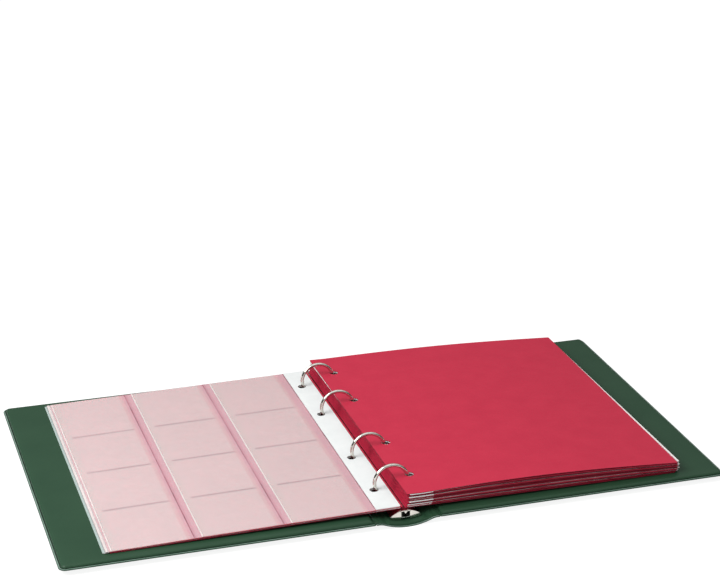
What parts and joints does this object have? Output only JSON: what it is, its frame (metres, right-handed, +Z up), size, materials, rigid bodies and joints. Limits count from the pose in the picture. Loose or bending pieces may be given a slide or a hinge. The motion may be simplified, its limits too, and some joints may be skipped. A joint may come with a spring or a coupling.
{
  "type": "stamp album",
  "caption": "Ring album lying open: padded covers on a rounded spine, a snap ring mechanism, clear pocket pages with punched strips and red interleaves.",
  "frame": {"origin": "on the table, under the middle of the spine", "axes": "+X across the open album to the right cover, +Y along the spine away from the reader, +Z up"},
  "size_m": [0.494, 0.27, 0.0305],
  "materials": {
    "leatherette": "grained satin",
    "lining": "smooth satin",
    "board": "matt grey board",
    "bright_steel": "polished nickel plate",
    "blade_steel": "plain zinc plate",
    "clear_film": "clear hazy film",
    "white_strip": "smooth satin",
    "red_sheet": "smooth matt"
  },
  "bodies": {
    "spine": {"spine_skin": "leatherette", "spine_board": "board", "spine_lining": "lining", "left_hinge_film": "lining", "right_hinge_film": "lining", "ring_housing": "bright_steel", "housing_rivets": "blade_steel"},
    "left_cover": {"left_cover_skin": "leatherette", "left_cover_board": "board", "left_cover_lining": "lining"},
    "right_cover": {"right_cover_skin": "leatherette", "right_cover_board": "board", "right_cover_lining": "lining"},
    "left_rings": {"left_blade": "blade_steel", "left_ring_1": "bright_steel", "left_ring_2": "bright_steel", "left_ring_3": "bright_steel", "left_ring_4": "bright_steel"},
    "right_rings": {"right_blade": "blade_steel", "right_ring_1": "bright_steel", "right_ring_2": "bright_steel", "right_ring_3": "bright_steel", "right_ring_4": "bright_steel"},
    "left_pages": {"left_interleaf_1": "red_sheet", "left_interleaf_2": "red_sheet", "left_page_1_film": "clear_film", "left_page_1_strip": "white_strip"},
    "right_pages": {"right_interleaf_1": "red_sheet", "right_interleaf_2": "red_sheet", "right_interleaf_3": "red_sheet", "right_interleaf_4": "red_sheet", "right_interleaf_5": "red_sheet", "right_interleaf_6": "red_sheet", "right_interleaf_7": "red_sheet", "right_interleaf_8": "red_sheet", "right_interleaf_9": "red_sheet", "right_page_1_film": "clear_film", "right_page_1_strip": "white_strip", "right_page_2_film": "clear_film", "right_page_2_strip": "white_strip", "right_page_3_film": "clear_film", "right_page_3_strip": "white_strip", "right_page_4_film": "clear_film", "right_page_4_strip": "white_strip", "right_page_5_film": "clear_film", "right_page_5_strip": "white_strip", "right_page_6_film": "clear_film", "right_page_6_strip": "white_strip", "right_page_7_film": "clear_film", "right_page_7_strip": "white_strip", "right_page_8_film": "clear_film", "right_page_8_strip": "white_strip", "right_page_9_film": "clear_film", "right_page_9_strip": "white_strip"},
    "left_leaf": {"left_page_2_strip": "white_strip", "left_page_2_film": "clear_film"},
    "right_leaf": {"right_interleaf_10": "red_sheet"}
  },
  "joints": [
    {"name": "left_cover_fold", "type": "hinge", "parent": "spine", "child": "left_cover", "pos_m": [-0.02, 0, 0.00496], "axis": [0, 1, 0], "range_deg": [0, 90], "deforming": ["left_hinge_film"]},
    {"name": "right_cover_fold", "type": "hinge", "parent": "spine", "child": "right_cover", "pos_m": [0.02, 0, 0.00496], "axis": [0, -1, 0], "range_deg": [0, 90], "deforming": ["right_hinge_film"]},
    {"name": "left_pages_swing", "type": "hinge", "parent": "spine", "child": "left_pages", "pos_m": [0, 0, 0.01636], "axis": [0, 1, 0], "range_deg": [0, 90]},
    {"name": "right_pages_swing", "type": "hinge", "parent": "spine", "child": "right_pages", "pos_m": [0, 0, 0.01636], "axis": [0, -1, 0], "range_deg": [0, 90]},
    {"name": "left_rings_open", "type": "hinge", "parent": "spine", "child": "left_rings", "pos_m": [-0.0102, 0, 0.00478], "axis": [0, 1, 0], "range_deg": [-10, 0]},
    {"name": "right_rings_open", "type": "hinge", "parent": "spine", "child": "right_rings", "pos_m": [0.0102, 0, 0.00478], "axis": [0, -1, 0], "range_deg": [-10, 0]},
    {"name": "left_leaf_turn", "type": "hinge", "parent": "left_pages", "child": "left_leaf", "pos_m": [0, 0, 0.01636], "axis": [0, -1, 0], "range_deg": [-178, 0]},
    {"name": "right_leaf_turn", "type": "hinge", "parent": "right_pages", "child": "right_leaf", "pos_m": [0, 0, 0.01636], "axis": [0, 1, 0], "range_deg": [-178, 0]}
  ],
  "couplings": [
    {"joint": "left_pages_swing", "follows": "left_cover_fold", "ratio": 1},
    {"joint": "right_pages_swing", "follows": "right_cover_fold", "ratio": 1},
    {"joint": "right_rings_open", "follows": "left_rings_open", "ratio": 1}
  ]
}
